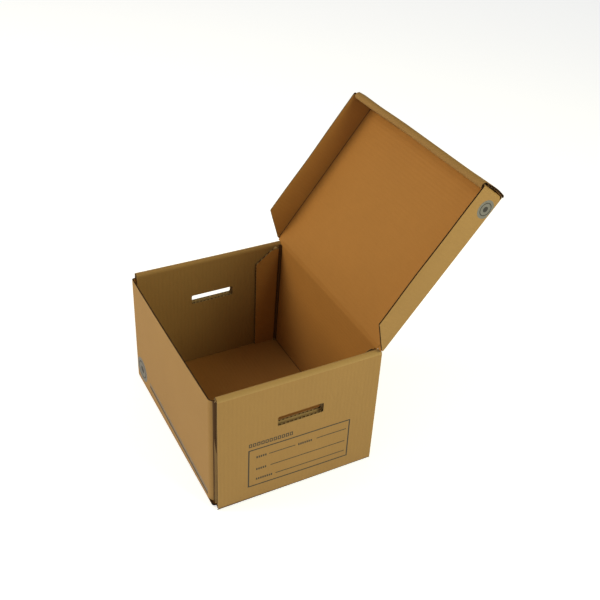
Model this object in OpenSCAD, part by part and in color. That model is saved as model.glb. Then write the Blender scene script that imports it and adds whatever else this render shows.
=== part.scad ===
/* Archive box of single wall corrugated board: one die cut sheet folded into a tray with
   rolled double end walls, and the attached lid, drawn open as it rests.
   X runs along the hinge (labelled end at +X), the front wall is at -Y, Z is up,
   the origin is the middle of the underside. */

/* [Board] */
// thickness of the corrugated board
board_t = 4; // [3:0.1:5]
// inside radius of an ordinary fold
fold_r = 0.8; // [0.5:0.1:1.5]
// inside radius of the soft fold between the floor and the front wall
front_fold_r = 5; // [0.8:0.1:8]
// air between two layers of a doubled wall
layer_gap = 0.5; // [0.3:0.1:1]

/* [Tray] */
// length over the end walls
tray_len = 396; // [340:2:460]
// width over the front and back walls
tray_wid = 316; // [260:1:360]
// height of the end walls to the top of the roll
end_h = 252; // [220:2:300]
// how far the raw front edge lies under the end walls
front_drop = 10; // [7:1:30]
// how far the raw edge of an end wall stays back from the front corner
end_inset = 9; // [6.5:0.1:14]

/* [Hand holes] */
// length of a hand hole
hole_len = 88; // [70:1:110]
// height of a hand hole
hole_h = 20; // [16:0.5:30]
// corner radius of a hand hole
hole_r = 4.5; // [1:0.5:7]
// distance from the top of the end wall down to the hole
hole_down = 80; // [50:1:110]

/* [Corner flaps of the tray] */
// width of the front wall's flap, shut inside the end wall
front_flap_w = 62; // [30:1:90]
// width of the back wall's flap, seen inside the tray
back_flap_w = 48; // [30:1:80]
// drop of the slanted top edge of the back wall's flap
back_flap_cut = 41; // [20:1:70]
// clearance of the corner flaps over the floor
flap_foot = 2; // [1.2:0.1:6]

/* [Hinge score] */
// thickness left where the board is crushed along the hinge
score_t = 1.4; // [1.2:0.1:1.6]
// width of the crushed line on each side of the hinge
score_w = 5.5; // [5:0.1:8]
// clearance between the crushed edges of tray and lid along the hinge line
score_gap = 0.5; // [0.5:0.1:1]
// clearance between the closed lid and the end walls' top
lid_rest_gap = 0.5; // [0.4:0.1:2]

/* [Lid] */
// opening angle of the lid at rest, 0 is closed
lid_open = 127; // [95:1:200]
// depth of the lid's side and front walls over their outside
lid_wall = 56.5; // [40:0.5:80]
// clearance of the lid's side walls beside the end walls
lid_side_gap = 1; // [0.6:0.1:4]
// clearance of the lid's front wall before the front wall of the tray
lid_front_gap = 2.6; // [1:0.1:6]
// length of the slanted end of a lid side wall
lid_slant = 38; // [20:1:60]
// width of the tabs shut inside the lid's front wall
lid_tab_w = 52; // [25:1:90]
// step from the side edge of the front wall's outer layer to the lid's outside
lid_edge_step = 0.6; // [0.4:0.1:2]

/* [Hidden] */
$fn = 64;
half_len = tray_len / 2;
half_wid = tray_wid / 2;
fold_out = board_t + fold_r;
front_fold_out = board_t + front_fold_r;
pitch = board_t + layer_gap;
roll_in = board_t / 2 + layer_gap;
roll_out = roll_in + board_t;
end_t = 2 * roll_out;
wall_run = end_h - fold_out - roll_out;
front_top = end_h - front_drop;
end_y0 = -half_wid + end_inset;
end_mid = (end_y0 + half_wid) / 2;
axis_y = half_wid - board_t / 2;
axis_z = end_h + lid_rest_gap + board_t / 2;
score_down = score_t + score_gap;
back_top = axis_z - score_w;
lid_half = half_len + lid_side_gap + board_t;
lid_reach = axis_y + half_wid + lid_front_gap + end_t;
lid_run = lid_wall - fold_out - roll_out;
lid_fold_s = lid_reach - fold_out;
lid_fold_z = board_t / 2 - fold_out;

/* Section of one straight panel of board, then what follows it as children. */
module panel(run) {
    square([run, board_t]);
    translate([run, 0]) children();
}

/* Section of a fold through 90 or 180 degrees about an inside radius r, then what
   follows it as children. */
module fold(angle, r) {
    reach = 2 * (r + board_t);
    translate([0, board_t + r])
        intersection() {
            difference() {
                circle(r + board_t);
                circle(r);
            }
            translate([0, -reach]) square([reach, reach * angle / 90]);
        }
    translate([0, board_t + r]) rotate(angle) translate([0, -board_t - r]) children();
}

/* Section drawn in x and z, made solid between two values of y. */
module along_y(y0, y1) {
    translate([0, y1, 0]) rotate([90, 0, 0]) linear_extrude(y1 - y0) children();
}

/* Section drawn in y and z, made solid from x = -half to x = half. */
module along_x(half) {
    translate([-half, 0, 0]) rotate([90, 0, 90]) linear_extrude(2 * half) children();
}

/* Children drawn for the +X end, and their mirror image at the -X end. */
module both_ends() {
    for (side = [0, 1]) mirror([side, 0, 0]) children();
}

/* Rounded slot through both layers of the +X end wall. */
module hand_hole() {
    translate([half_len - 2 * end_t, end_mid, end_h - hole_down - hole_h / 2])
        rotate([90, 0, 90])
        linear_extrude(4 * end_t) {
            square([hole_len - 2 * hole_r, hole_h], center = true);
            square([hole_len, hole_h - 2 * hole_r], center = true);
            for (sy = [-1, 1], sz = [-1, 1])
                translate([sy * (hole_len / 2 - hole_r), sz * (hole_h / 2 - hole_r)])
                    circle(hole_r);
        }
}

/* Floor fold, outer layer, rolled top and inner layer of the +X end wall. */
module end_wall() {
    difference() {
        along_y(end_y0, half_wid)
            translate([half_len - fold_out, 0])
                fold(90, fold_r) panel(wall_run) fold(180, roll_in) panel(wall_run);
        hand_hole();
    }
}

/* Upright quarter fold with its axis on the z line at the origin, from -Y round to +X. */
module corner_fold(height) {
    linear_extrude(height)
        intersection() {
            difference() {
                circle(fold_out);
                circle(fold_r);
            }
            translate([0, -fold_out]) square(fold_out);
        }
}

/* Corner fold and flap that carry on a wall at y = 0: the flap's outside lies on
   x = face_x, and its top edge falls by cut towards its free side. */
module corner_flap(face_x, width, z0, z1, cut) {
    translate([face_x - fold_out, fold_out, z0]) corner_fold(z1 - z0);
    translate([face_x - board_t, 0, 0]) rotate([90, 0, 90]) linear_extrude(board_t)
        polygon([[fold_out, z0], [width, z0], [width, z1 - cut], [fold_out, z1]]);
}

/* Front wall: floor fold, single panel with a raw top edge, and flaps that go inside
   the end walls. */
module front_wall() {
    face_x = half_len - pitch;
    along_x(face_x - fold_out)
        translate([-half_wid + front_fold_out, 0]) mirror([1, 0])
            fold(90, front_fold_r) panel(front_top - front_fold_out);
    both_ends() translate([0, -half_wid, 0])
        corner_flap(face_x, front_flap_w, front_fold_out + flap_foot, front_top, 0);
}

/* Back wall: floor fold, panel, flaps that lie before the end walls, and the crushed
   edge under the hinge. */
module back_wall() {
    face_x = half_len - end_t - layer_gap;
    along_x(face_x - fold_out) {
        translate([half_wid - fold_out, 0])
            fold(90, fold_r) panel(back_top - fold_out);
        translate([axis_y - score_t / 2, back_top])
            square([score_t, score_w - score_down]);
        translate([axis_y, axis_z - score_down]) circle(score_t / 2);
    }
    both_ends() translate([0, half_wid, 0]) mirror([0, 1, 0])
        corner_flap(face_x, back_flap_w, fold_out + flap_foot, back_top, back_flap_cut);
}

module tray() {
    color([0.72, 0.55, 0.33]) {
        translate([-half_len + fold_out, -half_wid + front_fold_out, 0])
            cube([tray_len - 2 * fold_out, tray_wid - front_fold_out - fold_out, board_t]);
        both_ends() end_wall();
        front_wall();
        back_wall();
    }
}

/* Lid's panel from the crushed edge at the hinge to the front fold. */
module lid_top() {
    along_x(lid_half - fold_out) mirror([1, 0]) {
        circle(score_t / 2);
        translate([0, -score_t / 2]) square([score_w, score_t]);
        translate([score_w, board_t / 2]) mirror([0, 1])
            panel(lid_fold_s - score_w) fold(90, fold_r);
    }
}

/* Lid's front wall: outer layer, roll at the free edge and inner layer. */
module lid_front() {
    along_x(lid_half - lid_edge_step)
        translate([-lid_reach, lid_fold_z - lid_run]) square([board_t, lid_run]);
    along_x(lid_half - pitch)
        translate([-lid_reach, lid_fold_z - lid_run]) rotate(-90)
            fold(180, roll_in) panel(lid_run);
}

/* Lid's +X side wall with its fold, slanted hinge end, and the tab at its front. */
module lid_side() {
    low = board_t / 2 - lid_wall;
    tab_s = lid_reach - pitch - fold_out;
    along_y(-lid_fold_s, -score_w)
        translate([lid_half - fold_out, board_t / 2]) mirror([0, 1]) fold(90, fold_r);
    translate([lid_half - board_t, 0, 0]) rotate([90, 0, 90]) linear_extrude(board_t)
        polygon([[-score_w, lid_fold_z], [-lid_fold_s, lid_fold_z],
            [-lid_fold_s, lid_fold_z - flap_foot], [-tab_s, lid_fold_z - flap_foot],
            [-tab_s, low], [-score_w - lid_slant, low]]);
    translate([lid_half - fold_out, -tab_s, lid_fold_z - lid_run])
        corner_fold(lid_run - flap_foot);
    translate([lid_half - fold_out - lid_tab_w, -tab_s - fold_out, lid_fold_z - lid_run])
        cube([lid_tab_w, board_t, lid_run - flap_foot]);
}

module lid() {
    color([0.75, 0.58, 0.35])
        translate([0, axis_y, axis_z]) rotate([-lid_open, 0, 0]) {
            lid_top();
            lid_front();
            both_ends() lid_side();
        }
}

tray();
lid();
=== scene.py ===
"""Looks of the archive box: one folded sheet of corrugated board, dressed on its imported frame.

Every panel is first laid out flat, as the board lies before it is folded: u runs along a
fold path, v across it and w through the board from its outside (w = 0) to its inside.
A fold path then carries flat points to the box. Lengths in the classes are millimetres.
"""

import logging
import math
from dataclasses import dataclass, field
from enum import IntEnum
from typing import Callable

import bpy
import numpy as np
from mathutils import Matrix


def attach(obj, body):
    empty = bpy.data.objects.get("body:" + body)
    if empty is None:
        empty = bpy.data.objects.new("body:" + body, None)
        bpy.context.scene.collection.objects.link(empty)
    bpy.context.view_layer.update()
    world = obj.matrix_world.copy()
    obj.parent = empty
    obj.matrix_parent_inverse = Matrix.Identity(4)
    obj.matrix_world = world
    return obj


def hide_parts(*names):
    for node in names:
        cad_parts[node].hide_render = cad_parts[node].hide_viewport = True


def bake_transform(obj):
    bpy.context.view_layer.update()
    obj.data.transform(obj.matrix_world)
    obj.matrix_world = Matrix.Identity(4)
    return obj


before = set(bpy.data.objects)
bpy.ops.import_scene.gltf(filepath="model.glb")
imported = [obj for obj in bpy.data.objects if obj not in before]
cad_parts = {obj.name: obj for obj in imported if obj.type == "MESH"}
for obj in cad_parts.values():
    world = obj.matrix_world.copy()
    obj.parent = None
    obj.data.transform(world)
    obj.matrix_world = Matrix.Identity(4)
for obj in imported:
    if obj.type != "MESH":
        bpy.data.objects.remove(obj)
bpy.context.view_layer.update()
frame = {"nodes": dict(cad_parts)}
LOG = logging.getLogger("archive_box")
MM = 0.001
TINY = 1e-6
PRINT_DEPTHS = (-0.06, 0.1)  # outer and inner face of a print, for w
SHARP_ANGLE = math.radians(35)
# largest distances between mesh lines, from bends to whole panels
BEND_STEP, SOFT_STEP = 0.8, 1.0
WALL_STEP, FLAP_STEP, PANEL_STEP = 6.0, 8.0, 10.0
LAYER_STEP, PRINT_STEP = 9.0, 12.0
Array = np.ndarray
Place = Callable[[Array, Array, Array], Array]


class Finish(IntEnum):
    """Material slots of the folded sheet, in the order they are given to a mesh."""

    OUTSIDE = 0
    # inside liner, made redder and brighter as painted warm bounce light
    INSIDE = 1
    # dark raw edge: painted shade on cut edges, also painted shade in creases, gaps and under
    # folds
    EDGE_AND_SHADE = 2
    INK = 3
    PALE_INK = 4
    CUT = 5
    # lighter kraft on the labelled end's roll: painted highlight
    ROLL_HIGHLIGHT = 6


@dataclass(frozen=True)
class Board:
    """Single wall corrugated board."""

    thick: float = 4.0
    liner: float = 0.4
    medium: float = 0.3
    pitch: float = 7.6
    flute_depth: float = 7.0
    flute_phase: float = 0.9
    score_r: float = 0.8

    @property
    def fold_out(self) -> float:
        """Outside radius of an ordinary fold."""
        return self.thick + self.score_r


BOARD = Board()


@dataclass
class Flat:
    """A patch of flat board: points in u and v, and the quads that join them."""

    points: Array
    quads: Array


def lines(low: float, high: float, step: float) -> Array:
    """Evenly spaced values from low to high, at most step apart.

    Args:
        low: first value.
        high: last value.
        step: largest distance between neighbours.

    Returns:
        The values, both ends included.
    """
    return np.linspace(low, high, max(2, int(math.ceil(abs(high - low) / step)) + 1))


def grid_quads(rows: int, columns: int) -> Array:
    """Quads of a grid whose points are stored row by row, turned anticlockwise in u and v."""
    first = (np.arange(rows - 1)[:, None] * columns + np.arange(columns - 1)[None]).ravel()
    return np.stack([first, first + columns, first + columns + 1, first + 1], -1)


def flat_grid(us: Array, vs: Array) -> Flat:
    """Rectangular patch with lines at the given values.

    Args:
        us: values of u, rising.
        vs: values of v, rising.

    Returns:
        The patch.
    """
    grid = np.stack(np.meshgrid(us, vs, indexing="ij"), -1)
    return Flat(grid.reshape(-1, 2), grid_quads(len(us), len(vs)))


def flat_between(us: Array, low: Callable[[Array], Array], high: Callable[[Array], Array],
                 step: float) -> Flat:
    """Patch whose v runs from low(u) to high(u), in equal shares on every line of u.

    Args:
        us: values of u, rising.
        low: lower border as a function of u.
        high: upper border as a function of u.
        step: largest distance between neighbours in v.

    Returns:
        The patch.
    """
    bottom, top = low(us), high(us)
    share = lines(0.0, 1.0, step / float(np.max(np.abs(top - bottom))))
    vs = bottom[:, None] + (top - bottom)[:, None] * share
    grid = np.stack([np.repeat(us[:, None], len(share), 1), vs], -1)
    return Flat(grid.reshape(-1, 2), grid_quads(len(us), len(share)))


@dataclass(frozen=True)
class Slot:
    """Rounded slot in a flat patch: its middle, its half sizes and its corner radius."""

    u: float
    v: float
    half_u: float
    half_v: float
    radius: float

    def rim(self, ring: Array, half: tuple[float, float]) -> Array:
        """Points of the slot's outline that answer to points on a rectangle around it.

        A point is scaled onto the slot's own rectangle, then pulled to the rounded outline:
        nearest point of the inner rectangle plus the radius in the direction between them.

        Args:
            ring: points on the border of the rectangle around the slot.
            half: half sizes of that rectangle.

        Returns:
            One point of the outline for each point of the ring.
        """
        middle = np.array([self.u, self.v])
        size = np.array([self.half_u, self.half_v])
        local = (ring - middle) * size / np.array(half)
        inner = np.clip(local, -(size - self.radius), size - self.radius)
        away = local - inner
        length = np.linalg.norm(away, axis=1, keepdims=True)
        return middle + inner + self.radius * away / np.maximum(length, 1e-9)


def window_lines(middle: float, half: float, size: float, radius: float, step: float) -> Array:
    """Grid lines across a window, even in its middle part and close at its corners.

    Args:
        middle: middle of the window.
        half: its half size.
        size: half size of the slot in it.
        radius: the slot's corner radius.
        step: largest distance between the even lines.

    Returns:
        The lines, rising, both ends included.
    """
    corner = np.linspace(0.0, 1.0, 6)
    ends = [side * half * (1 - corner * radius / size) for side in (-1, 1)]
    even = lines(-half, half, step) * (1 - radius / size)
    return np.unique(np.round(np.concatenate([*ends, even]), 6)) + middle


def with_window(values: Array, window: Array) -> Array:
    """Grid lines outside a window, with the window's own lines put between them."""
    return np.concatenate([values[values < window[0] - TINY], window,
                           values[values > window[-1] + TINY]])


def flat_window(us: Array, vs: Array, slot: Slot, margin: float = 14.0) -> Flat:
    """Rectangular patch with a rounded slot in it.

    The grid has a rectangular gap around the slot, and rings of quads go from the gap's
    border to the slot's outline, by even steps between the two.

    Args:
        us: values of u, rising.
        vs: values of v, rising.
        slot: the slot to leave open.
        margin: distance from the slot to the gap's border.

    Returns:
        The patch.
    """
    half = (slot.half_u + margin, slot.half_v + margin)
    in_u = window_lines(slot.u, half[0], slot.half_u, slot.radius, 8.0)
    in_v = window_lines(slot.v, half[1], slot.half_v, slot.radius, 6.0)
    us, vs = with_window(us, in_u), with_window(vs, in_v)
    whole = flat_grid(us, vs)
    centre = whole.points[whole.quads].mean(1) - (slot.u, slot.v)
    kept = whole.quads[np.any(np.abs(centre) > np.array(half) - TINY, axis=1)]
    i0, i1 = np.searchsorted(us, in_u[[0, -1]] - TINY)
    j0, j1 = np.searchsorted(vs, in_v[[0, -1]] - TINY)
    n = len(vs)
    i, j = np.arange(i0, i1), np.arange(j0, j1)
    border = np.concatenate([i * n + j0, i1 * n + j, (i[::-1] + 1) * n + j1,
                             i0 * n + j[::-1] + 1])
    ring = whole.points[border]
    target = slot.rim(ring, half)
    steps = np.array([0.45, 0.75, 0.92, 1.0])
    rings = ring + (target - ring) * steps[:, None, None]
    base = len(whole.points)
    count = len(border)
    index = np.concatenate([border[None], base + np.arange(len(steps) * count).reshape(-1, count)])
    after = np.roll(index, -1, axis=1)
    quads = np.stack([index[:-1], after[:-1], after[1:], index[1:]], -1).reshape(-1, 4)
    return Flat(np.concatenate([whole.points, rings.reshape(-1, 2)]),
                np.concatenate([kept, quads]))


@dataclass
class FoldPath:
    """Line of the board's outside in a plane, made of straight runs and bends.

    Args:
        start: first point of the outside.
        heading: direction of the first run in degrees; the inside lies to its left.
        runs: ("run", length) or ("bend", degrees, radius of the hollow side), where a
            bend over 0 turns towards the inside.
    """

    start: tuple[float, float]
    heading: float
    runs: list[tuple]
    marks: list[float] = field(default_factory=list)

    def __post_init__(self) -> None:
        """Works out where each run and bend begins."""
        self.parts = []
        at, turn, length = np.array(self.start, float), math.radians(self.heading), 0.0
        half = BOARD.thick / 2
        for run in self.runs:
            along = np.array([math.cos(turn), math.sin(turn)])
            left = np.array([-along[1], along[0]])
            self.marks.append(length)
            if run[0] == "run":
                self.parts.append((length, at, turn, 0.0, 0.0))
                at, length = at + along * run[1], length + run[1]
                continue
            angle = math.radians(run[1])
            side = math.copysign(1.0, angle)
            radius = run[2] + (BOARD.thick if side > 0 else 0.0)
            self.parts.append((length, at, turn, side, radius))
            centre = at + left * radius * side
            end = turn + angle
            at = centre - np.array([-math.sin(end), math.cos(end)]) * radius * side
            length += abs(angle) * (radius - side * half)
            turn = end
        self.length = length
        self.marks.append(length)

    def at(self, u: Array, w: Array) -> tuple[Array, Array]:
        """Point of the board at length u and depth w.

        On a run: start + heading times u + left times w. On a bend: centre minus the
        turned left direction times (radius less w), with the angle from the length
        along the middle of the board.

        Args:
            u: length along the path.
            w: depth from the outside.

        Returns:
            The two coordinates in the path's plane.
        """
        u, w = np.broadcast_arrays(np.asarray(u, float), np.asarray(w, float))
        a, b = np.zeros(u.shape), np.zeros(u.shape)
        starts = np.array([part[0] for part in self.parts])
        which = np.clip(np.searchsorted(starts, u, side="right") - 1, 0, len(starts) - 1)
        for number, (length, at, turn, side, radius) in enumerate(self.parts):
            here = which == number
            step, depth = u[here] - length, w[here]
            if side == 0.0:
                a[here] = at[0] + math.cos(turn) * step - math.sin(turn) * depth
                b[here] = at[1] + math.sin(turn) * step + math.cos(turn) * depth
                continue
            angle = turn + side * step / (radius - side * BOARD.thick / 2)
            centre = (at[0] - math.sin(turn) * radius * side,
                      at[1] + math.cos(turn) * radius * side)
            reach = radius * side - depth
            a[here] = centre[0] + np.sin(angle) * reach
            b[here] = centre[1] - np.cos(angle) * reach
        return a, b


class Sheet:
    """Collects the slabs, flutes and prints of one piece and makes them a mesh."""

    def __init__(self, name: str, slot: str) -> None:
        """Starts an empty piece.

        Args:
            name: name of the piece.
            slot: the record's material slot; not used.
        """
        self.name, self.slot = name, slot
        self.points: list[Array] = []
        self.quads: list[Array] = []
        self.kinds: list[Array] = []
        self.flutes: list[Array] = []
        self.count = 0

    def slab(self, flat: Flat, place: Place, w0: Array | float, w1: Array | float,
             finish: tuple[int, int], phase: Array | None = None,
             rim_finish: int = Finish.EDGE_AND_SHADE) -> None:
        """Adds a closed slab over a flat patch.

        Args:
            flat: the patch.
            place: carries u, v and w to the box.
            w0: depth of the outer face, one value or one for each point.
            w1: depth of the inner face.
            finish: finishes of the outer and the inner face.
            phase: distance across the flutes for each point.
            rim_finish: finish of the rim.
        """
        u, v = flat.points.T
        n = len(u)
        outer = place(u, v, np.broadcast_to(w0, u.shape))
        inner = place(u, v, np.broadcast_to(w1, u.shape))
        quads = flat.quads
        edges = np.concatenate([quads[:, [k, (k + 1) % 4]] for k in range(4)])
        key = np.sort(edges, axis=1)
        code = key[:, 0].astype(np.int64) * n + key[:, 1]
        _, first, times = np.unique(code, return_index=True, return_counts=True)
        rim = edges[first[times == 1]]
        sides = np.stack([rim[:, 0], rim[:, 1], rim[:, 1] + n, rim[:, 0] + n], -1)
        faces = np.concatenate([quads[:, ::-1], quads + n, sides])
        kinds = np.concatenate([np.full(len(quads), finish[0]), np.full(len(quads), finish[1]),
                                np.full(len(sides), int(rim_finish))])
        middle = flat.points.mean(0)
        probe = np.array([[0, 0, 0], [0.01, 0, 0], [0, 0.01, 0], [0, 0, 0.01]]) + (*middle, 0.5)
        corner = place(*probe.T)
        if np.linalg.det(corner[1:] - corner[0]) < 0:
            faces = faces[:, ::-1]
        self.points.append(np.concatenate([outer, inner]))
        self.quads.append(faces + self.count)
        self.kinds.append(kinds)
        self.flutes.append(np.tile(np.zeros(n) if phase is None else phase, 2))
        self.count += 2 * n

    def board(self, flat: Flat, place: Place, across: int,
              finish: tuple[int, int] = (Finish.OUTSIDE, Finish.INSIDE),
              rim_finish: int = Finish.EDGE_AND_SHADE) -> None:
        """Adds both liners of a panel.

        Args:
            flat: the panel's patch.
            place: carries u, v and w to the box.
            across: 0 where the flutes follow v, 1 where they follow u.
            finish: finishes of the outside and the inside.
            rim_finish: finish of the rims.
        """
        phase = flat.points[:, across] * MM
        self.slab(flat, place, 0.0, BOARD.liner, (finish[0], Finish.EDGE_AND_SHADE), phase, rim_finish)
        self.slab(flat, place, BOARD.thick - BOARD.liner, BOARD.thick,
                  (Finish.EDGE_AND_SHADE, finish[1]), phase, rim_finish)

    def medium(self, start: tuple[float, float], end: tuple[float, float],
               inward: tuple[float, float], place: Place, across: int,
               finish: int = Finish.EDGE_AND_SHADE) -> None:
        """Adds the wavy layer that shows at a raw edge.

        Depth w is the middle of the board plus the wave's height times the sine of the
        distance across the flutes.

        Args:
            start: first end of the raw edge in u and v.
            end: its other end.
            inward: direction into the panel.
            place: carries u, v and w to the box.
            across: 0 where the flutes follow v, 1 where they follow u.
            finish: its finish.
        """
        start_, end_, inward_ = np.array(start), np.array(end), np.array(inward)
        along, deep = np.abs(end_ - start_)[across], abs(inward[across]) * BOARD.flute_depth
        fine = BOARD.pitch / 10
        pieces = int(np.hypot(*(end_ - start_)) / 12)
        t = np.linspace(0, 1, max(2, int(along / fine) + 1, pieces + 1))
        d = np.linspace(0.25, BOARD.flute_depth, max(2, int(deep / fine) + 1))
        grid = (start_ + (end_ - start_) * t[:, None, None] + inward_ * d[None, :, None])
        flat = Flat(grid.reshape(-1, 2), grid_quads(len(t), len(d)))
        height = BOARD.thick / 2 - BOARD.liner - BOARD.medium / 2
        wave = BOARD.thick / 2 + height * np.sin(
            2 * math.pi * flat.points[:, across] / BOARD.pitch + BOARD.flute_phase)
        cross = np.cross(end_ - start_, inward_)
        if cross < 0:
            flat.quads = flat.quads[:, ::-1]
        self.slab(flat, place, wave - BOARD.medium / 2, wave + BOARD.medium / 2,
                  (finish, finish), None, finish)

    def ink(self, flat: Flat, place: Place, ink: Finish) -> None:
        """Prints a patch on the outside, as a thin slab that stands just proud of it."""
        self.slab(flat, place, *PRINT_DEPTHS, (ink, Finish.EDGE_AND_SHADE))

    def build(self, materials: list[bpy.types.Material]) -> bpy.types.Object:
        """Makes the mesh object.

        Args:
            materials: one for each finish, in order.

        Returns:
            The object, at the origin.
        """
        points = np.concatenate(self.points) * MM
        quads = np.concatenate(self.quads)
        mesh = bpy.data.meshes.new(self.name)
        mesh.vertices.add(len(points))
        mesh.vertices.foreach_set("co", points.astype(np.float32).ravel())
        mesh.loops.add(quads.size)
        mesh.loops.foreach_set("vertex_index", quads.astype(np.int32).ravel())
        mesh.polygons.add(len(quads))
        mesh.polygons.foreach_set("loop_start", np.arange(0, quads.size, 4, dtype=np.int32))
        mesh.polygons.foreach_set("material_index", np.concatenate(self.kinds).astype(np.int32))
        flute = mesh.attributes.new("flute", "FLOAT", "POINT")
        flute.data.foreach_set("value", np.concatenate(self.flutes).astype(np.float32))
        mesh.update(calc_edges=True)
        mesh.validate()
        mesh.shade_smooth()
        mesh.set_sharp_from_angle(angle=SHARP_ANGLE)
        for material in materials:
            mesh.materials.append(material)
        piece = bpy.data.objects.new(self.name, mesh)
        bpy.context.scene.collection.objects.link(piece)
        LOG.info("%s: %d quads", self.name, len(quads))
        return piece


@dataclass(frozen=True)
class KraftPaper:
    """Matt brown liner with fibres, specks, broad clouding and faint washboard lines."""

    name: str
    colour: tuple[float, float, float]
    cloud: float = 0.06
    fibre: float = 0.10
    washboard: float = 0.07
    rough: float = 0.82
    shine: float = 0.28

    def material(self) -> bpy.types.Material:
        """Builds the node material.

        Returns:
            The material.
        """
        tree = NodeTree(self.name)
        place = tree.node("ShaderNodeTexCoord").outputs["Object"]
        cloud = tree.noise(place, 9.0, 4.0, 0.55)
        patch = tree.noise(place, 60.0, 3.0, 0.6)
        fibre = tree.noise(tree.stretch(place, (900.0, 260.0, 260.0)), 1.0, 3.0, 0.7)
        speck = tree.noise(place, 1500.0, 2.0, 0.6)
        shade = tree.sum([(cloud, 2 * self.cloud), (patch, self.cloud), (fibre, self.fibre),
                          (speck, self.fibre)], 1.0 - 1.5 * self.cloud - self.fibre)
        phase = tree.attribute("flute")
        ripple = tree.math("SINE", tree.math("MULTIPLY", phase, 2 * math.pi / (BOARD.pitch * MM)))
        shade = tree.math("ADD", shade, tree.math("MULTIPLY", ripple, 0.006))
        colour = tree.scaled(self.colour, shade)
        bump = tree.bump([(ripple, self.washboard), (patch, 0.25), (fibre, 0.05), (speck, 0.03)])
        return tree.finish(colour, bump, self.rough, self.shine)


@dataclass(frozen=True)
class RawEdge:
    """Cut edge of the board: rough, darker paper. Its darkest copy is painted shade: raw edges in
    shade, creases, gaps and fold undersides.
    """

    name: str
    colour: tuple[float, float, float]

    def material(self) -> bpy.types.Material:
        """Builds the node material.

        Returns:
            The material.
        """
        tree = NodeTree(self.name)
        place = tree.node("ShaderNodeTexCoord").outputs["Object"]
        grain = tree.noise(place, 700.0, 4.0, 0.7)
        patch = tree.noise(place, 90.0, 3.0, 0.6)
        shade = tree.sum([(grain, 0.35), (patch, 0.2)], 0.72)
        return tree.finish(tree.scaled(self.colour, shade), tree.bump([(grain, 0.12)]), 0.92, 0.2)


@dataclass(frozen=True)
class PrintInk:
    """Water based ink that lets some of the paper's mottle through."""

    name: str
    colour: tuple[float, float, float]

    def material(self) -> bpy.types.Material:
        """Builds the node material.

        Returns:
            The material.
        """
        tree = NodeTree(self.name)
        place = tree.node("ShaderNodeTexCoord").outputs["Object"]
        grain = tree.noise(place, 1300.0, 3.0, 0.65)
        patch = tree.noise(place, 160.0, 3.0, 0.6)
        shade = tree.sum([(grain, 0.5), (patch, 0.3)], 0.6)
        return tree.finish(tree.scaled(self.colour, shade), tree.bump([(grain, 0.04)]), 0.7, 0.3)


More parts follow.
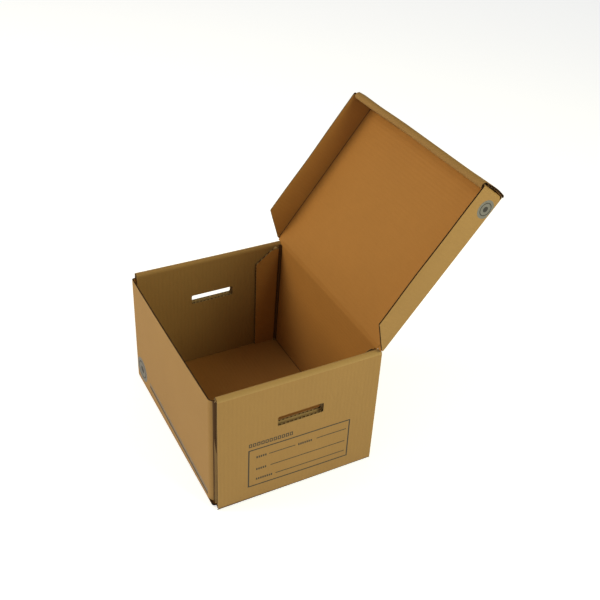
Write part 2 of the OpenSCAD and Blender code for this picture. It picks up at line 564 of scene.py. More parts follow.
class NodeTree:
    """Small helper that writes the nodes of one material."""

    def __init__(self, name: str) -> None:
        """Starts a material with an empty tree.

        Args:
            name: the material's name.
        """
        self.material = bpy.data.materials.new(name)
        self.material.use_nodes = True
        self.tree = self.material.node_tree
        self.tree.nodes.clear()

    def node(self, kind: str) -> bpy.types.Node:
        """Adds a node of the given kind."""
        return self.tree.nodes.new(kind)

    def link(self, source: bpy.types.NodeSocket, target: bpy.types.NodeSocket) -> None:
        """Joins two sockets."""
        self.tree.links.new(source, target)

    def noise(self, place: bpy.types.NodeSocket, scale: float, detail: float,
              rough: float) -> bpy.types.NodeSocket:
        """Adds a noise texture.

        Args:
            place: coordinates to read.
            scale: noise cells in a metre.
            detail: octaves.
            rough: strength of the finer octaves.

        Returns:
            The noise value, around a half.
        """
        node = self.node("ShaderNodeTexNoise")
        node.inputs["Scale"].default_value = scale
        node.inputs["Detail"].default_value = detail
        node.inputs["Roughness"].default_value = rough
        self.link(place, node.inputs["Vector"])
        return node.outputs["Fac"]

    def stretch(self, place: bpy.types.NodeSocket,
                scale: tuple[float, float, float]) -> bpy.types.NodeSocket:
        """Scales coordinates by a different factor on each axis."""
        node = self.node("ShaderNodeMapping")
        node.inputs["Scale"].default_value = scale
        self.link(place, node.inputs["Vector"])
        return node.outputs["Vector"]

    def attribute(self, name: str) -> bpy.types.NodeSocket:
        """Reads a number stored on the mesh."""
        node = self.node("ShaderNodeAttribute")
        node.attribute_name = name
        return node.outputs["Fac"]

    def math(self, operation: str, first: bpy.types.NodeSocket,
             second: bpy.types.NodeSocket | float | None = None) -> bpy.types.NodeSocket:
        """Adds one arithmetic node and returns its value."""
        node = self.node("ShaderNodeMath")
        node.operation = operation
        self.link(first, node.inputs[0])
        if isinstance(second, (int, float)):
            node.inputs[1].default_value = second
        elif second is not None:
            self.link(second, node.inputs[1])
        return node.outputs["Value"]

    def sum(self, parts: list[tuple[bpy.types.NodeSocket, float]],
            start: float) -> bpy.types.NodeSocket:
        """Adds up values times their weights, from a first number.

        Args:
            parts: pairs of value and weight.
            start: the first number.

        Returns:
            The sum.
        """
        total = None
        for value, weight in parts:
            term = self.math("MULTIPLY", value, weight)
            total = term if total is None else self.math("ADD", total, term)
        return self.math("ADD", total, start)

    def scaled(self, colour: tuple[float, float, float],
               shade: bpy.types.NodeSocket) -> bpy.types.NodeSocket:
        """Multiplies a colour by a brightness."""
        node = self.node("ShaderNodeVectorMath")
        node.operation = "SCALE"
        node.inputs[0].default_value = colour
        self.link(shade, node.inputs["Scale"])
        return node.outputs["Vector"]

    def bump(self, parts: list[tuple[bpy.types.NodeSocket, float]]) -> bpy.types.NodeSocket:
        """Turns weighted heights, in millimetres, into a bumped normal."""
        node = self.node("ShaderNodeBump")
        node.inputs["Strength"].default_value = 1.0
        node.inputs["Distance"].default_value = MM
        self.link(self.sum(parts, 0.0), node.inputs["Height"])
        return node.outputs["Normal"]

    def finish(self, colour: bpy.types.NodeSocket, normal: bpy.types.NodeSocket, rough: float,
               shine: float) -> bpy.types.Material:
        """Joins colour and normal to the surface shader.

        Args:
            colour: the surface colour.
            normal: the bumped normal.
            rough: roughness, the same all over.
            shine: specular level, the same all over.

        Returns:
            The finished material.
        """
        shader = self.node("ShaderNodeBsdfPrincipled")
        shader.inputs["Roughness"].default_value = rough
        shader.inputs["Specular IOR Level"].default_value = shine
        self.link(colour, shader.inputs["Base Color"])
        self.link(normal, shader.inputs["Normal"])
        output = self.node("ShaderNodeOutputMaterial")
        self.link(shader.outputs["BSDF"], output.inputs["Surface"])
        return self.material


def swell(t: Array) -> Array:
    """Smooth hump over 0 to 1: the sine of pi t, and 0 outside."""
    return np.sin(math.pi * np.clip(t, 0.0, 1.0))


def ease(t: Array) -> Array:
    """Smooth step over 0 to 1: 3 t squared less 2 t cubed."""
    t = np.clip(t, 0.0, 1.0)
    return t * t * (3 - 2 * t)


def ramp(value: Array, start: float, end: float) -> Array:
    """Smooth step that is 0 before start and 1 past end, whichever of them is larger."""
    return ease((value - start) / (end - start))


@dataclass(frozen=True)
class Label:
    """Print on the labelled end: y and z of a frame, rules, open boxes and rows of blocks."""

    askew: float = 0.014
    pivot: float = 93.0
    frame: tuple[float, float, float, float] = (-92.9, 106.6, 31.2, 119.7)
    frame_line: float = 2.3
    line: float = 1.7
    rules: tuple[tuple[float, float, float], ...] = (
        (-53.5, -2.6, 98.3), (39.4, 99.8, 98.2), (-50.0, 98.8, 69.8), (-39.6, 99.6, 45.7))
    heading: tuple[float, float, float] = (-92.0, 126.1, 134.0)
    boxes: int = 11
    box_pitch: float = 7.7
    box_w: float = 6.0
    words: tuple[tuple[float, int, float], ...] = (
        (-77.5, 5, 96.8), (-77.5, 5, 68.1), (-77.5, 8, 44.3), (3.0, 7, 96.3))
    block_pitch: float = 4.1
    block_w: float = 2.7
    block_h: float = 4.6


@dataclass
class Tray:
    """Tray of the box: floor, rolled end walls, front wall, back wall and corner flaps."""

    end_x: float = 202.7
    end_lean: float = 1.5
    end_top: float = 252.4
    end_y: tuple[float, float] = (-149.0, 158.0)
    end_wave: float = 0.3
    outer_bow: float = 0.6
    inner_bow: float = 1.2
    inner_flare: float = 4.0
    foot_lift: float = 3.0
    roll_sag: float = 0.5
    roll_r: float = 2.5
    front_y: float = 155.3
    front_r: float = 5.0
    front_lean: float = 0.45
    front_top: float = 242.0
    front_bow: float = 0.8
    front_spread: float = 1.6
    edge_crush: float = 0.35
    flap_x: float = 191.9
    flap_w: float = 62.0
    near_x: float = 186.0
    near_r: float = 8.0
    lit_share: float = 0.62
    floor_rise: float = 4.0
    back_y: float = 158.0
    back_top: float = 249.0
    back_flap_x: float = 182.7
    back_flap_w: float = 60.0
    back_flap_cut: float = 34.0
    back_flap_level: float = 12.0
    near_flap_sunk: float = 6.0
    back_bow: float = 0.9
    groove: float = 3.3
    back_spread: float = 5.0
    flap_shear: float = 6.0
    slot_len: float = 88.0
    slot_h: float = 20.0
    slot_r: float = 2.8
    slot_z: float = 165.1
    slot_shift: float = 1.1
    slot_y: float = 5.1

    def end_path(self) -> FoldPath:
        """Floor fold, outer layer, roll and inner layer of an end wall, in x and z."""
        lean = math.radians(self.end_lean)
        run = (self.end_top - BOARD.fold_out - self.roll_r - BOARD.thick) / math.cos(lean)
        return FoldPath((self.end_x - BOARD.fold_out, 0.0), 0.0, [
            ("bend", 90 + self.end_lean, BOARD.score_r), ("run", run),
            ("bend", 180.0, self.roll_r), ("run", run - 0.4)])

    def end_place(self, side: int, path: FoldPath) -> Place:
        """Carries the flat end wall to the box.

        Both layers bow inwards by about a millimetre in their middle, the roll sags a little
        between its ends, and the foot rises a little towards the front corner. At the
        labelled end the inner layer stands off the flap near the front corner.

        Args:
            side: 1 for the labelled end, -1 for the plain one.
            path: the fold path.

        Returns:
            The function that places u, v and w.
        """
        low, high = self.end_y

        def place(u: Array, v: Array, w: Array) -> Array:
            """x and z from the path, y from v."""
            along = (v - low) / (high - low)
            outer = (u - path.marks[1]) / (path.marks[2] - path.marks[1])
            inner = (u - path.marks[3]) / (path.marks[4] - path.marks[3])
            bow = (self.end_wave * np.sin(9.0 * along + side) * swell(outer)
                   - self.inner_bow * swell(along) * swell(inner)
                   + self.outer_bow * swell(along) * swell(outer))
            flare = self.inner_flare * ramp(v, -120.0, -145.0) * ramp(inner, 0.0, 0.06)
            a, b = path.at(u, w + bow)
            lift = self.foot_lift * np.clip((40.0 - v) / 190.0, 0.0, 1.0)
            rise = lift * ramp(u, 0.0, path.marks[1]) * (1 - ramp(b, 0.0, 150.0))
            sag = self.roll_sag * swell(along) * ramp(b, 0.0, 250.0)
            return np.stack([side * (a - flare * max(side, 0)), v, b + rise - sag], -1)

        return place

    def end_wall(self, sheet: Sheet, side: int) -> None:
        """Adds one rolled double end wall with its hand hole.

        Args:
            sheet: the piece that takes it.
            side: 1 for the labelled end, -1 for the plain one.
        """
        path = self.end_path()
        place = self.end_place(side, path)
        low, high = self.end_y
        vs = lines(low, high, LAYER_STEP)
        # The floor fold's outside, over most of its bend, takes the dark edge colour: painted
        # contact shadow under the wall.
        shadow_end = 0.97 * path.marks[1]
        sheet.board(flat_grid(lines(0.0, shadow_end, BEND_STEP), vs), place, 1,
                    (Finish.EDGE_AND_SHADE, Finish.INSIDE))
        sheet.board(flat_grid(lines(shadow_end, path.marks[1], BEND_STEP), vs), place, 1)
        height = self.slot_z + side * self.slot_shift
        rise = (height - BOARD.fold_out) / math.cos(math.radians(self.end_lean))
        outer_u = path.marks[1] + rise
        inner_u = path.marks[3] + (path.marks[2] - path.marks[1]) - rise
        for first, last, u in ((1, 2, outer_u), (3, 4, inner_u)):
            slot = Slot(u, self.slot_y, self.slot_h / 2, self.slot_len / 2, self.slot_r)
            us = lines(path.marks[first], path.marks[last], LAYER_STEP)
            sheet.board(flat_window(us, vs, slot), place, 1, (Finish.OUTSIDE, Finish.CUT),
                        Finish.CUT)
            self.slot_edges(sheet, slot, place)
        # The labelled end's roll takes a lighter kraft: painted highlight where light falls on its
        # top.
        sheet.board(flat_grid(lines(path.marks[2], path.marks[3], SOFT_STEP), vs), place, 1,
                    (Finish.ROLL_HIGHLIGHT if side > 0 else Finish.OUTSIDE, Finish.INSIDE))
        for v, inward in ((low, 1.0), (high, -1.0)):
            sheet.medium((path.marks[1], v), (path.marks[4] - 1.0, v), (0.0, inward), place, 1,
                         Finish.CUT)

    @staticmethod
    def slot_edges(sheet: Sheet, slot: Slot, place: Place) -> None:
        """Adds the wavy layer round a hand hole."""
        u, v = slot.half_u, slot.half_v
        flat_v, flat_u = v - slot.radius, u - slot.radius
        for sign in (-1.0, 1.0):
            for start, end, inward in (((sign * u, -flat_v), (sign * u, flat_v), (sign, 0.0)),
                                       ((-flat_u, sign * v), (flat_u, sign * v), (0.0, sign))):
                sheet.medium((slot.u + start[0], slot.v + start[1]),
                             (slot.u + end[0], slot.v + end[1]), inward, place, 1, Finish.CUT)

    def floor(self, sheet: Sheet) -> None:
        """Adds the floor panel, raised a little in the far back corner.

        Args:
            sheet: the piece that takes it.
        """
        def place(u: Array, v: Array, w: Array) -> Array:
            """x from u, y from v, z from w plus the rise of the far back corner."""
            rise = self.floor_rise * ramp(u, -60.0, -190.0) * ramp(v, 20.0, 130.0)
            edge = ramp(u, -196.0, -182.0) * ramp(v, 154.0, 148.0)
            return np.stack([u, v, w + rise * edge], -1)

        half = self.end_x - BOARD.fold_out
        front = -self.front_y + self.front_r + BOARD.thick
        back = self.back_y - BOARD.fold_out
        flat = flat_grid(lines(-half, half, PANEL_STEP), lines(front, back, FLAP_STEP))
        sheet.board(flat, place, 1)

    def front_fold(self, sheet: Sheet) -> None:
        """Adds the soft fold between the floor and the front wall.

        Args:
            sheet: the piece that takes it.
        """
        path = FoldPath((self.front_y - self.front_r - BOARD.thick, 0.0), 0.0,
                        [("bend", 90 - self.front_lean, self.front_r)])

        def place(u: Array, v: Array, w: Array) -> Array:
            """y and z from the path, x from v."""
            a, b = path.at(u, w)
            return np.stack([v, -a, b], -1)

        half = self.flap_x - BOARD.fold_out
        # The outside of the fold's lower part takes the dark edge colour: painted contact shadow
        # along the front wall's foot.
        shadow_end, vs = 0.70 * path.length, lines(-half - 1.0, half + 1.0, PANEL_STEP)
        sheet.board(flat_grid(lines(0.0, shadow_end, 1.2), vs), place, 0, (Finish.EDGE_AND_SHADE, Finish.INSIDE))
        sheet.board(flat_grid(lines(shadow_end, path.length, 1.2), vs), place, 0)
        for sign in (-1.0, 1.0):
            edge = sign * (half + 1.0)
            sheet.medium((0.0, edge), (path.length, edge), (0.0, -sign), place, 0)

    def front_path(self) -> FoldPath:
        """Flap, corner fold, front wall, corner fold and flap, in x and y."""
        flap = self.flap_w - BOARD.fold_out
        soft = BOARD.thick + self.near_r
        return FoldPath((-self.flap_x, -self.front_y + self.flap_w), -90.0, [
            ("run", flap), ("bend", 90.0, BOARD.score_r),
            ("run", self.flap_x - BOARD.fold_out + self.near_x - soft),
            ("bend", 90.0, self.near_r), ("run", self.flap_w - soft)])

    def front_wall(self, sheet: Sheet) -> None:
        """Adds the front wall with its raw top edge and the flaps inside the end walls.

        Args:
            sheet: the piece that takes it.
        """
        path = self.front_path()
        lean = math.tan(math.radians(self.front_lean))
        foot = self.front_r + BOARD.thick

        def place(u: Array, v: Array, w: Array) -> Array:
            """x and y from the path, z from v, leaning outwards with the height."""
            along = (u - path.marks[2]) / (path.marks[3] - path.marks[2])
            w = w * (1 - self.edge_crush * ramp(v, self.front_top - 5.0, self.front_top))
            a, b = path.at(u, w - self.front_bow * swell(along) * ramp(v, 20.0, 220.0))
            spread = self.front_spread * (1 - v / self.front_top)
            spread = spread * ramp(np.abs(a), 150.0, 190.0)
            return np.stack([a + np.sign(a) * spread, b - lean * (v - foot), v], -1)

        top, marks = self.front_top, path.marks
        vs = lines(foot, top, FLAP_STEP)
        sheet.board(flat_grid(lines(marks[2], marks[3], PANEL_STEP), vs), place, 1)
        sheet.medium((marks[2], top), (marks[3], top), (0.0, -1.0), place, 1)
        vs = lines(foot + 2.0, top, FLAP_STEP)
        lit = marks[3] + self.lit_share * (marks[4] - marks[3])
        # The flap outsides take the dark edge colour as painted shade between the end wall's
        # layers, and the near corner fold past its lit share takes it as painted shadow in the gap
        # beside the end wall.
        for low, high, step, face in ((marks[0], marks[1], 8.0, Finish.EDGE_AND_SHADE),
                                      (marks[1], marks[2], 0.8, Finish.OUTSIDE),
                                      (marks[3], lit, 1.0, Finish.OUTSIDE),
                                      (lit, marks[4], 1.0, Finish.EDGE_AND_SHADE),
                                      (marks[4], marks[5], 8.0, Finish.EDGE_AND_SHADE)):
            sheet.board(flat_grid(lines(low, high, step), vs), place, 1, (face, Finish.INSIDE))
            sheet.medium((low, top), (high, top), (0.0, -1.0), place, 1)
        self.front_prints(sheet, place, path)

    def back_wall(self, sheet: Sheet) -> None:
        """Adds the back wall, its floor fold and the flaps seen inside the tray.

        Args:
            sheet: the piece that takes it.
        """
        flap = self.back_flap_w - BOARD.fold_out
        path = FoldPath((self.back_flap_x, self.back_y - self.back_flap_w), 90.0, [
            ("run", flap), ("bend", 90.0, BOARD.score_r),
            ("run", 2 * (self.back_flap_x - BOARD.fold_out)), ("bend", 90.0, BOARD.score_r),
            ("run", flap)])
        marks, top = path.marks, self.back_top

        def place(u: Array, v: Array, w: Array) -> Array:
            """x and y from the path, z from v; the flaps follow the leaning end walls."""
            along = (u - marks[2]) / (marks[3] - marks[2])
            groove = sum(swell((u - low) / (high - low)) for low, high in
                         ((marks[1] - 7.0, marks[2] + 0.5), (marks[3] - 0.5, marks[4] + 7.0)))
            a, b = path.at(u, w + self.back_bow * swell(along) * swell(v / top)
                           - self.groove * np.minimum(groove, 1.0) * w / BOARD.thick)
            spread = self.back_spread * (1 - v / top) * ramp(np.abs(a), 120.0, 180.0)
            shear = self.flap_shear * (1 - v / top) * np.clip((150.0 - b) / 50.0, 0.0, 1.0)
            return np.stack([a + np.sign(a) * spread, b + shear, v], -1)

        sheet.board(flat_grid(lines(marks[2], marks[3], PANEL_STEP),
                              lines(BOARD.fold_out, top, FLAP_STEP)), place, 1)
        fold = FoldPath((self.back_y - BOARD.fold_out, 0.0), 0.0, [("bend", 90.0, BOARD.score_r)])

        def fold_place(u: Array, v: Array, w: Array) -> Array:
            """y and z from the fold's path, x from v."""
            a, b = fold.at(u, w)
            return np.stack([v, a, b], -1)

        half = self.end_x - BOARD.fold_out
        # Its inside face takes the dark edge colour: painted shade in the crease between floor and
        # back wall.
        sheet.board(flat_grid(lines(0.0, fold.length, BEND_STEP), lines(-half, half, PANEL_STEP)),
                    fold_place, 0, (Finish.OUTSIDE, Finish.EDGE_AND_SHADE))
        foot, cut = BOARD.fold_out + 2.0, self.back_flap_cut
        for first, fold_mark, last in ((0, 1, 2), (5, 4, 3)):
            out = math.copysign(8.0, marks[first] - marks[fold_mark])
            us = np.unique(np.concatenate([
                lines(*sorted((marks[first], marks[fold_mark] + out)), FLAP_STEP),
                lines(*sorted((marks[fold_mark] + out, marks[fold_mark])), SOFT_STEP),
                lines(*sorted((marks[fold_mark], marks[last])), BEND_STEP)]))
            span = abs(marks[fold_mark] - marks[first]) - self.back_flap_level

            sunk = self.near_flap_sunk if first == 5 else 0.0

            def ceiling(u: Array, free: float = marks[first], run: float = span,
                        wall: float = marks[last], sunk: float = sunk) -> Array:
                """Top edge: falls evenly from the fold to the free edge, or first by a step."""
                fall = np.maximum(cut * np.clip(1 - np.abs(u - free) / run, 0, 1),
                                  sunk * ramp(np.abs(u - wall), 0.0, 7.5))
                return top - fall

            sheet.board(flat_between(us, lambda u: np.full(u.shape, foot), ceiling, 8.0), place, 1,
                        (Finish.OUTSIDE, Finish.INSIDE), Finish.CUT)
            # A thin sheet in the dark edge colour over the inside of each corner fold: painted
            # shade in the groove between flap and back wall.
            crush = lines(*sorted((marks[fold_mark] + out * 0.55, marks[last] - out * 0.05)), 0.9)
            sheet.slab(flat_grid(crush, np.array([foot, top])), place, BOARD.thick,
                       BOARD.thick + 0.06, (Finish.EDGE_AND_SHADE, Finish.EDGE_AND_SHADE))
            inward = 1.0 if first == 0 else -1.0
            sheet.medium((marks[first], foot), (marks[first], top - cut), (inward, 0.0), place, 1,
                         Finish.CUT)
            slope = np.array([cut, -span * inward])
            slope = slope / np.hypot(*slope)
            sheet.medium((marks[first], top - cut), (marks[first] + span * inward, top),
                         (inward * abs(slope[0]), -abs(slope[1])), place, 1, Finish.CUT)

    def front_prints(self, sheet: Sheet, place: Place, path: FoldPath) -> None:
        """Adds the plain disc and the double line printed on the front wall.

        Args:
            sheet: the piece that takes them.
            place: carries u, v and w to the front wall.
            path: the wall's fold path.
        """
        zero = path.marks[2] + self.flap_x - BOARD.fold_out
        for low, high, ink in ((-3.2, 2.4, Finish.INK), (5.0, 9.0, Finish.PALE_INK)):
            flat = flat_grid(lines(zero - 118.0, zero + 171.0, PRINT_STEP), np.array([low, high]))
            flat.points[:, 1] += 26.1 - (flat.points[:, 0] - zero) * 0.045
            sheet.ink(flat, place, ink)
        disc(sheet, place, (zero - 160.3, 42.0), 26.0)

    def end_prints(self, sheet: Sheet, label: Label) -> None:
        """Adds the label frame, its lines and rows of blocks printed on the labelled end.

        Args:
            sheet: the piece that takes them.
            label: places and sizes of the print.
        """
        path = self.end_path()
        place = self.end_place(1, path)
        base = path.marks[1] - BOARD.fold_out

        def bar(y0: float, y1: float, z0: float, z1: float) -> None:
            """One printed rectangle, set a little askew like the whole print."""
            flat = flat_grid(lines(base + z0, base + z1, PRINT_STEP), lines(y0, y1, PRINT_STEP))
            flat.points[:, 0] -= label.askew * (flat.points[:, 1] + label.pivot)
            sheet.ink(flat, place, Finish.INK)

        def frame_of(y0: float, y1: float, z0: float, z1: float, line: float) -> None:
            """Four bars round a rectangle."""
            bar(y0, y1, z0, z0 + line)
            bar(y0, y1, z1 - line, z1)
            bar(y0, y0 + line, z0 + line, z1 - line)
            bar(y1 - line, y1, z0 + line, z1 - line)

        frame_of(*label.frame, label.frame_line)
        for y0, y1, z in label.rules:
            bar(y0, y1, z, z + label.line)
        y0, z0, z1 = label.heading
        for y in y0 + label.box_pitch * np.arange(label.boxes):
            frame_of(y, y + label.box_w, z0, z1, label.line)
        for y0, count, z in label.words:
            for y in y0 + label.block_pitch * np.arange(count):
                bar(y, y + label.block_w, z, z + label.block_h)

    def build(self) -> Sheet:
        """Puts the tray together.

        Returns:
            The sheet with every panel of the tray.
        """
        sheet = Sheet("tray_board", "kraft_tray")
        self.floor(sheet)
        for side in (-1, 1):
            self.end_wall(sheet, side)
        self.front_fold(sheet)
        self.front_wall(sheet)
        self.back_wall(sheet)
        self.end_prints(sheet, Label())
        return sheet


def disc(sheet: Sheet, place: Place, middle: tuple[float, float], radius: float) -> None:
    """Adds a plain printed badge: a pale disc with a darker ring and a darker middle.

    Args:
        sheet: the piece that takes it.
        place: carries u, v and w to the panel.
        middle: its middle in u and v.
        radius: its outer radius.
    """
    angle = np.linspace(0, 2 * math.pi, 49)
    for inner, outer, finish in ((0.0, 0.3, Finish.INK), (0.3, 0.62, Finish.PALE_INK),
                                 (0.62, 0.72, Finish.INK), (0.72, 1.0, Finish.PALE_INK)):
        r = np.linspace(max(inner, 0.004), outer, 3) * radius
        ring = middle + r[:, None, None] * np.stack([np.cos(angle), np.sin(angle)], -1)
        count = len(angle) - 1
        points = ring[:, :-1].reshape(-1, 2)
        row = np.arange(len(r) - 1)[:, None] * count
        k = np.arange(count)[None]
        quads = np.stack([row + k, row + count + k, row + count + (k + 1) % count,
                          row + (k + 1) % count], -1).reshape(-1, 4)
        sheet.ink(Flat(points, quads), place, finish)


@dataclass
class Lid:
    """Attached lid: panel, side walls with slanted ends, rolled front and crease."""

    axis_y: float = 156.0
    axis_z: float = 254.5
    opening: float = 127.0
    half: float = 200.6
    reach: float = 329.5
    wall: float = 56.5
    score: float = 5.5
    root: float = 1.0
    tail: float = 1.8
    overlap: float = 0.3
    slant: float = 41.0
    roll_r: float = 2.5
    step: float = 0.6
    tab_w: float = 52.0
    gap: float = 0.5
    skew: float = 2.6
    panel_bow: float = 1.2
    splay: float = 1.8
    wall_wave: float = 0.4
    deeper: tuple[float, float] = (-2.2, 2.0)
    edge_crush: float = 0.3
    hinge_tuck: float = 0.2
    bulge: tuple[float, float] = (0.8, 1.2)
    crease_r: float = 5.0
    crease_crush: float = 0.55

    def to_box(self, s: Array, x: Array, depth: Array) -> Array:
        """Turns lid coordinates to the open lid's place; the front lies a little askew.

        Args:
            s: distance from the hinge line along the lid.
            x: place along the hinge.
            depth: distance from the panel's middle towards the lid's inside.

        Returns:
            Points of the box.
        """
        a = math.radians(self.opening)
        s = s - self.skew * ramp(x, -40.0, -200.0) * np.clip(s / 300.0, 0.0, 1.0) ** 2
        y = self.axis_y - math.cos(a) * s - math.sin(a) * depth
        z = self.axis_z + math.sin(a) * s - math.cos(a) * depth
        return np.stack([x, y, z], -1)

    def panel(self, sheet: Sheet) -> None:
        """Adds the top panel, bowed a little between its walls.

        Args:
            sheet: the piece that takes it.
        """
        half = self.half - BOARD.fold_out
        far = self.reach - BOARD.fold_out

        def place(u: Array, v: Array, w: Array) -> Array:
            """s from u, x from v, depth from w with a bow."""
            bow = self.panel_bow * swell((v + half) / (2 * half))
            bow = bow * swell((u - self.score) / (far - self.score))
            return self.to_box(u, v, w - BOARD.thick / 2 + bow)

        sheet.board(flat_grid(lines(self.score, far, LAYER_STEP), lines(-half, half, PANEL_STEP)),
                    place, 0)

    def lips(self, sheet: Sheet, crease_half: float) -> None:
        """Adds the panel's crushed edge where it passes the ends of the crease.

        Args:
            sheet: the piece that takes it.
            crease_half: half of the crease's length.
        """
        def place(u: Array, v: Array, w: Array) -> Array:
            """s from u, x from v, depth from w, crushed towards the middle near the hinge."""
            full = 0.2 + 0.8 * ramp(u, 3.5, self.score)
            return self.to_box(u, v, (w - BOARD.thick / 2) * full)

        half = self.half - BOARD.fold_out + 0.5
        for low, high in ((-half, 1.0 - crease_half), (crease_half - 1.0, half)):
            flat = flat_grid(lines(-self.tail, self.score + self.overlap, SOFT_STEP),
                             lines(low, high, WALL_STEP))
            sheet.slab(flat, place, 0.0, BOARD.thick, (Finish.OUTSIDE, Finish.INSIDE))

    def side_wall(self, sheet: Sheet, side: int) -> None:
        """Adds one side wall with its fold, slanted end, corner fold and tab.

        Args:
            sheet: the piece that takes it.
            side: 1 or -1.
        """
        run = self.wall - BOARD.fold_out
        path = FoldPath((self.half - BOARD.fold_out, -BOARD.thick / 2), 0.0,
                        [("bend", 90.0, BOARD.score_r), ("run", run)])
        end = self.reach - BOARD.thick - self.gap - BOARD.fold_out

        def place(u: Array, v: Array, w: Array) -> Array:
            """x and depth from the path, s from v; the wall splays and waves a little."""
            down = ramp(u, path.marks[1], path.length)
            wave = np.sin(v / 31.0 + side) * swell((v - 20.0) / (end - 20.0))
            wave = down * (self.splay + self.wall_wave * wave)
            full = 1 - self.edge_crush * ramp(u, path.length - 4.0, path.length)
            a, b = path.at(u, w * full)
            tuck = self.hinge_tuck * ramp(v, 12.0, 0.0)
            deeper = self.deeper[int(side < 0)] * down * ramp(v, 180.0, 40.0)
            return self.to_box(v, side * (a + wave - tuck), b + deeper)

        fold = flat_grid(lines(0.0, path.marks[1], BEND_STEP),
                         lines(self.root, end + 4.3, LAYER_STEP))
        # The fold's inside face takes the dark edge colour: painted shade in the crease.
        sheet.board(fold, place, 1, (Finish.OUTSIDE, Finish.EDGE_AND_SHADE))
        us = lines(path.marks[1], path.length, WALL_STEP)
        # The near wall's raw edges take the dark edge colour as painted shade; the far wall's keep
        # the light cut edge colour.
        edge = Finish.EDGE_AND_SHADE if side > 0 else Finish.CUT
        slant = self.slant

        def near(u: Array) -> Array:
            """Slanted end: moves away from the hinge with the depth."""
            return self.root + slant * (u - path.marks[1]) / run

        flat = flat_between(us, near, lambda u: np.full(u.shape, end), 5.0)
        sheet.board(flat, place, 1, (Finish.OUTSIDE, Finish.INSIDE), edge)
        low = path.length
        sheet.medium((low, self.root + slant), (low, end), (-1.0, 0.0), place, 1, edge)
        slope = np.array([slant, run]) / math.hypot(slant, run)
        sheet.medium((path.marks[1], self.root), (low, self.root + slant),
                     (-float(slope[0]), float(slope[1])), place, 1, edge)
        tab = FoldPath((end, -self.half), 0.0,
                       [("bend", 90.0, BOARD.score_r), ("run", self.tab_w)])
        top, deepest = BOARD.fold_out - BOARD.thick / 2, self.wall - BOARD.thick / 2

        def tab_place(u: Array, v: Array, w: Array) -> Array:
            """s and x from the tab's path, depth from v; it splays like the side wall."""
            a, b = tab.at(u, w)
            splay = self.splay * ramp(v, top, top + run)
            return self.to_box(a, side * (splay - b), v)

        for us, deep in ((np.linspace(0, tab.marks[1], 7), deepest),
                         (lines(tab.marks[1], tab.length, FLAP_STEP), deepest - 7.0)):
            sheet.board(flat_grid(us, lines(BOARD.fold_out, deep, WALL_STEP)), tab_place, 1)
            sheet.medium((float(us[0]), deep), (float(us[-1]), deep), (0.0, -1.0), tab_place, 1)
        if side == 1:
            disc(sheet, place, (path.marks[1] + 14.2, 293.9), 17.0)

    def front(self, sheet: Sheet) -> None:
        """Adds the front wall: outer layer, roll and inner layer over the tabs.

        Args:
            sheet: the piece that takes it.
        """
        roll_out = self.roll_r + BOARD.thick
        run = self.wall - BOARD.fold_out - roll_out
        path = FoldPath((self.reach - BOARD.fold_out, -BOARD.thick / 2), 0.0, [
            ("bend", 90.0, BOARD.score_r), ("run", run), ("bend", 180.0, self.roll_r),
            ("run", run - 0.6)])
        marks = path.marks
        outer, inner = self.half - self.step, self.half - BOARD.thick - self.gap

        def place(u: Array, v: Array, w: Array) -> Array:
            """s and depth from the path, x from v; the outer layer bulges."""
            bulge = self.bulge[0] + self.bulge[1] * ramp(np.abs(v), 120.0, 200.0)
            bulge = bulge * swell((u - marks[1]) / run)
            a, b = path.at(u, w - bulge)
            return self.to_box(a, v, b)

        for first, last, half, step in ((0, 1, outer, 0.8), (1, 2, outer, 5.0), (2, 3, inner, 1.0),
                                        (3, 4, inner, 6.0)):
            flat = flat_grid(lines(marks[first], marks[last], step),
                             lines(-half, half, PANEL_STEP))
            sheet.board(flat, place, 0)
            for sign in (-1.0, 1.0):
                sheet.medium((marks[first], sign * half), (marks[last], sign * half),
                             (0.0, -sign), place, 0)

    def build(self, crease_half: float) -> Sheet:
        """Puts the lid together.

        Args:
            crease_half: half of the crease's length.

        Returns:
            The sheet with every panel of the lid.
        """
        sheet = Sheet("lid_board", "kraft_lid")
        self.panel(sheet)
        self.lips(sheet, crease_half)
        for side in (-1, 1):
            self.side_wall(sheet, side)
        self.front(sheet)
        return sheet

    def crease(self, half: float) -> Sheet:
        """Makes the crushed line that joins lid and back wall.

        Args:
            half: half of its length.

        Returns:
            The sheet of the crease.
        """
        sheet = Sheet("lid_crease_board", "kraft_lid")
        bend = self.opening - 90.0
        tangent = self.crease_r * math.tan(math.radians(bend / 2))
        straight = self.score - tangent
        path = FoldPath((self.axis_y + BOARD.thick / 2, self.axis_z - self.score), 90.0, [
            ("run", straight), ("bend", -bend, self.crease_r - BOARD.thick / 2),
            ("run", straight)])

        def place(u: Array, v: Array, w: Array) -> Array:
            """y and z from the path, x from v; the board is crushed towards its middle."""
            crush = self.crease_crush * swell(u / path.length) ** 2
            middle = BOARD.thick / 2
            a, b = path.at(u, middle + (w - middle) * (1 - crush))
            return np.stack([-v, a, b], -1)

        flat = flat_grid(lines(0.0, path.length, 0.6), lines(-half, half, PRINT_STEP))
        sheet.board(flat, place, 0)
        return sheet

    def crease_ends(self) -> tuple[tuple[float, float, float], tuple[float, float, float]]:
        """Points in metres where the crease starts to turn and where it has turned."""
        length = self.score - 0.8
        end = self.to_box(np.array(length), np.array(0.0), np.array(0.0)) * MM
        return ((0.0, self.axis_y * MM, (self.axis_z - length) * MM), tuple(map(float, end)))


def stand(thing: bpy.types.Object, right: Array, up: Array, back: Array, place: Array) -> None:
    """Links a camera or a light and gives it its axes and its place in metres."""
    bpy.context.scene.collection.objects.link(thing)
    matrix = np.eye(4)
    matrix[:3, 0], matrix[:3, 1], matrix[:3, 2], matrix[:3, 3] = right, up, back, place
    thing.matrix_world = Matrix(matrix.tolist())


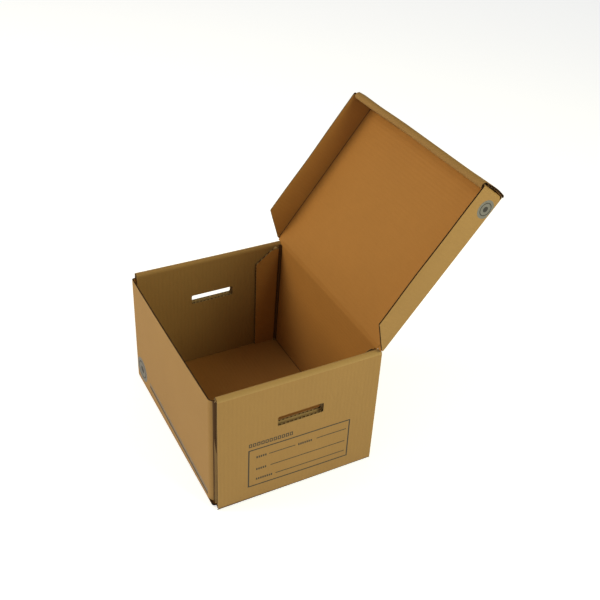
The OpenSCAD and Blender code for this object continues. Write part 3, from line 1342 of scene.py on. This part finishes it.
@dataclass(frozen=True)
class Studio:
    """Camera, lights and floor."""

    azimuth: float = 59.87
    elevation: float = 35.61
    roll: float = 4.15
    focal_px: float = 873.48
    shift_x: float = 100.68
    shift_y: float = 222.27
    distance: float = 1719.15
    forward: float = 4.1
    picture_px: float = 600.0
    sensor: float = 36.0

    def camera(self) -> None:
        """Sets the camera at the photograph's place.

        Its axes are right, up and back for the azimuth and elevation, turned by the roll;
        its place is shift_x right, shift_y up and distance back from the box's foot.
        """
        a, e, r = (math.radians(v) for v in (self.azimuth, self.elevation, self.roll))
        back = np.array([math.sin(a) * math.cos(e), -math.cos(a) * math.cos(e), math.sin(e)])
        level = np.array([math.cos(a), math.sin(a), 0.0])
        rise = np.cross(back, level)
        right = level * math.cos(r) + rise * math.sin(r)
        up = rise * math.cos(r) - level * math.sin(r)
        place = (self.shift_x * right + self.shift_y * up + self.distance * back
                 + np.array([0.0, self.forward, 0.0])) * MM
        data = bpy.data.cameras.new("camera")
        data.sensor_width = self.sensor
        data.lens = self.focal_px * self.sensor / self.picture_px
        data.clip_start, data.clip_end = 0.05, 50.0
        camera = bpy.data.objects.new("camera", data)
        stand(camera, right, up, back, place)
        bpy.context.scene.camera = camera

    @staticmethod
    def lamp(name: str, place: tuple[float, float, float], aim: tuple[float, float, float],
             size: float, watts: float, colour: tuple[float, float, float]) -> None:
        """Adds a square soft light.

        Args:
            name: its name.
            place: where it stands, in metres.
            aim: the point it faces.
            size: length of its side in metres.
            watts: its power.
            colour: its colour.
        """
        data = bpy.data.lights.new(name, "AREA")
        data.shape, data.size, data.energy, data.color = "SQUARE", size, watts, colour
        back = np.array(place, float) - np.array(aim, float)
        back /= np.linalg.norm(back)
        right = np.cross([0.0, 0.0, 1.0], back)
        right /= np.linalg.norm(right)
        stand(bpy.data.objects.new(name, data), right, np.cross(back, right), back, place)

    def lights(self) -> None:
        """Sets the soft studio light: two lights on the left, and one at the back on the right."""
        box = (0.0, 0.0, 0.2)
        self.lamp("low_key", (-0.9, -2.4, 1.4), box, 1.4, 32.0, (1.0, 0.80, 0.40))
        self.lamp("high_key", (-1.2, -1.8, 2.6), box, 1.6, 27.0, (1.0, 1.0, 0.93))
        self.lamp("back_fill", (1.5, 0.9, 1.3), (0.1, 0.1, 0.3), 0.9, 23.5, (1.0, 1.0, 0.64))
        world = bpy.data.worlds.new("studio")
        world.use_nodes = True
        shade = world.node_tree.nodes["Background"]
        shade.inputs["Color"].default_value = (1.0, 0.94, 0.80, 1.0)
        shade.inputs["Strength"].default_value = 0.30
        bpy.context.scene.world = world
        bpy.context.scene.view_settings.view_transform = "Standard"

    @staticmethod
    def floor() -> None:
        """Adds the plain pale floor."""
        size = 30.0
        mesh = bpy.data.meshes.new("studio_floor")
        mesh.from_pydata([(-size, -size, 0), (size, -size, 0), (size, size, 0), (-size, size, 0)],
                         [], [(0, 1, 2, 3)])
        floor = bpy.data.objects.new("studio_floor", mesh)
        bpy.context.scene.collection.objects.link(floor)
        tree = NodeTree("pale_floor")
        shader = tree.node("ShaderNodeBsdfPrincipled")
        shader.inputs["Base Color"].default_value = (0.90, 0.90, 0.90, 1.0)
        shader.inputs["Roughness"].default_value = 0.9
        shader.inputs["Emission Color"].default_value = (0.88, 0.92, 1.0, 1.0)
        shader.inputs["Emission Strength"].default_value = 0.60
        output = tree.node("ShaderNodeOutputMaterial")
        tree.link(shader.outputs["BSDF"], output.inputs["Surface"])
        mesh.materials.append(tree.material)


def finishes() -> list[bpy.types.Material]:
    """Materials of the folded sheet, in the order of Finish."""
    return [
        KraftPaper("kraft_outside", (0.284, 0.163, 0.051)).material(),
        # Inside liner: the outside's paper, made redder and brighter as painted warm bounce light
        # inside the box.
        KraftPaper("kraft_inside_painted_bounce", (0.390, 0.180, 0.041)).material(),
        # darkened cut edge paper: painted shade on raw edges, creases, gaps and fold undersides
        RawEdge("raw_edge_and_painted_shade", (0.105, 0.056, 0.024)).material(),
        PrintInk("print_ink", (0.030, 0.027, 0.024)).material(),
        PrintInk("pale_print_ink", (0.145, 0.140, 0.128)).material(),
        RawEdge("cut_edge", (0.40, 0.27, 0.125)).material(),
        # lighter kraft: painted highlight on the roll's top
        KraftPaper("kraft_roll_painted_highlight", (0.335, 0.208, 0.074)).material()]


def main() -> None:
    """Builds the box, dresses it and sets the scene."""
    logging.basicConfig(level=logging.INFO, format="%(name)s: %(message)s")
    studio = Studio()
    studio.camera()
    studio.lights()
    studio.floor()
    materials = finishes()
    tray, lid = Tray(), Lid()
    box = tray.build().build(materials)
    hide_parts("tray")
    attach(box, "box")
    crease_half = tray.back_flap_x + tray.groove
    cover = lid.build(crease_half).build(materials)
    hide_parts("lid")
    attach(cover, "lid")
    crease = lid.crease(crease_half).build(materials)
    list(lid.crease_ends())
    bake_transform(crease)


if __name__ == "__main__":
    main()
